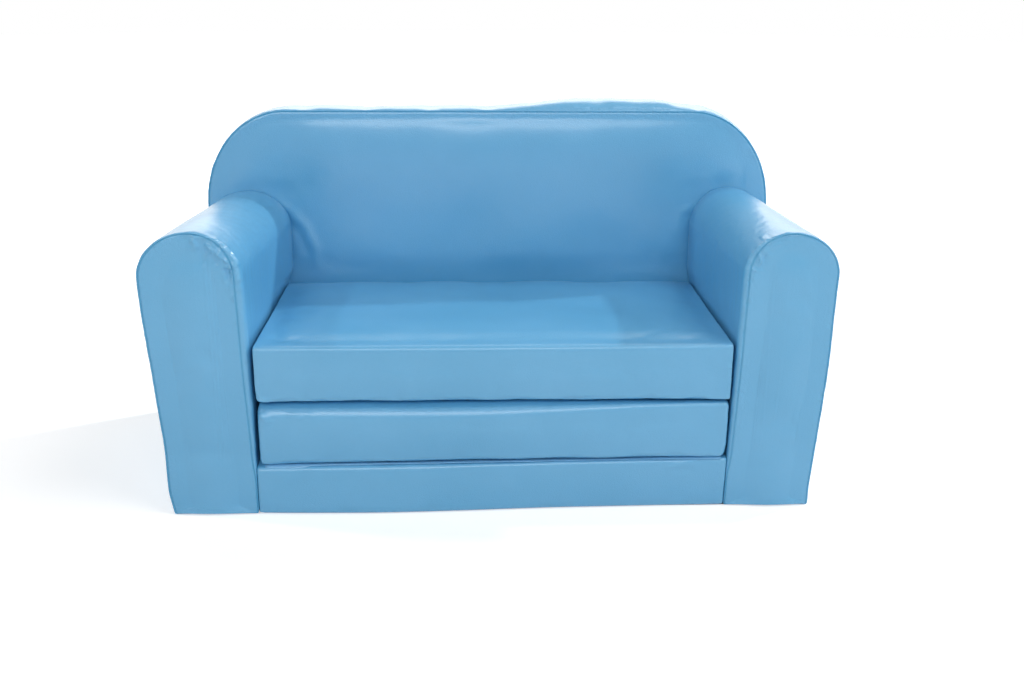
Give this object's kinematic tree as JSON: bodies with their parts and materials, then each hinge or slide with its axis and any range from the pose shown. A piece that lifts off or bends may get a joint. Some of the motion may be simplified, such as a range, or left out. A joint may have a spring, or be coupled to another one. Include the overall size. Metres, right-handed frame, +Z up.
{
  "type": "kids flip open sofa",
  "caption": "Low foam sofa for small children in wipe-clean vinyl, with rounded arms and a folded mattress seat that flips open onto the floor.",
  "frame": {"origin": "on the floor, in the middle of the sofa's width and depth", "axes": "+X to the right seen from the front, +Y from the front to the back, +Z up"},
  "size_m": [0.7978, 0.3774, 0.444],
  "materials": {
    "vinyl": "light sky-blue coated fabric, fine grain, soft satin sheen",
    "hinge_strip": "the same coated fabric, folded and sewn",
    "foam": "open-cell polyurethane foam, off-white",
    "underside_cloth": "dark non-slip cloth with small dots",
    "zip_tape": "woven tape and nylon coil",
    "zip_metal": "plain nickel-coloured slider without a pull"
  },
  "bodies": {
    "carcase": {"base_foam": "foam", "left_arm_foam": "foam", "right_arm_foam": "foam", "back_foam": "foam", "base_front_panel": "vinyl", "base_top_panel": "vinyl", "left_arm_front_panel": "vinyl", "left_arm_wrap": "vinyl", "right_arm_front_panel": "vinyl", "right_arm_wrap": "vinyl", "back_front_panel": "vinyl", "back_rear_panel": "vinyl", "back_boxing": "vinyl", "underside_cloth": "underside_cloth", "back_zip": "zip_tape"},
    "lower_panel": {"lower_panel_foam": "foam", "lower_panel_sleeve": "vinyl", "lower_panel_left_end": "vinyl", "lower_panel_right_end": "vinyl", "lower_panel_zip": "zip_tape", "front_hinge_strip": "hinge_strip"},
    "upper_panel": {"upper_panel_foam": "foam", "upper_panel_sleeve": "vinyl", "upper_panel_left_end": "vinyl", "upper_panel_right_end": "vinyl", "upper_panel_zip": "zip_tape", "rear_hinge_strip": "hinge_strip"},
    "back_slider": {"back_zip_slider": "zip_metal"},
    "lower_panel_slider": {"lower_panel_zip_slider": "zip_metal"},
    "upper_panel_slider": {"upper_panel_zip_slider": "zip_metal"}
  },
  "joints": [
    {"name": "front_hinge", "type": "hinge", "parent": "carcase", "child": "lower_panel", "pos_m": [0, -0.19025, 0.068], "axis": [1, 0, 0], "range_deg": [0, 180], "deforming": ["front_hinge_strip"]},
    {"name": "rear_hinge", "type": "hinge", "parent": "lower_panel", "child": "upper_panel", "pos_m": [0, 0.10375, 0.13625], "axis": [1, 0, 0], "range_deg": [-180, 0], "deforming": ["rear_hinge_strip"]},
    {"name": "back_zip_slide", "type": "slide", "parent": "carcase", "child": "back_slider", "axis": [-1, 0, 0], "range_m": [0, 0.584]},
    {"name": "lower_zip_slide", "type": "slide", "parent": "lower_panel", "child": "lower_panel_slider", "axis": [1, 0, 0], "range_m": [0, 0.424]},
    {"name": "upper_zip_slide", "type": "slide", "parent": "upper_panel", "child": "upper_panel_slider", "axis": [-1, 0, 0], "range_m": [0, 0.424]}
  ],
  "couplings": [
    {"joint": "rear_hinge", "follows": "front_hinge", "ratio": -1}
  ]
}
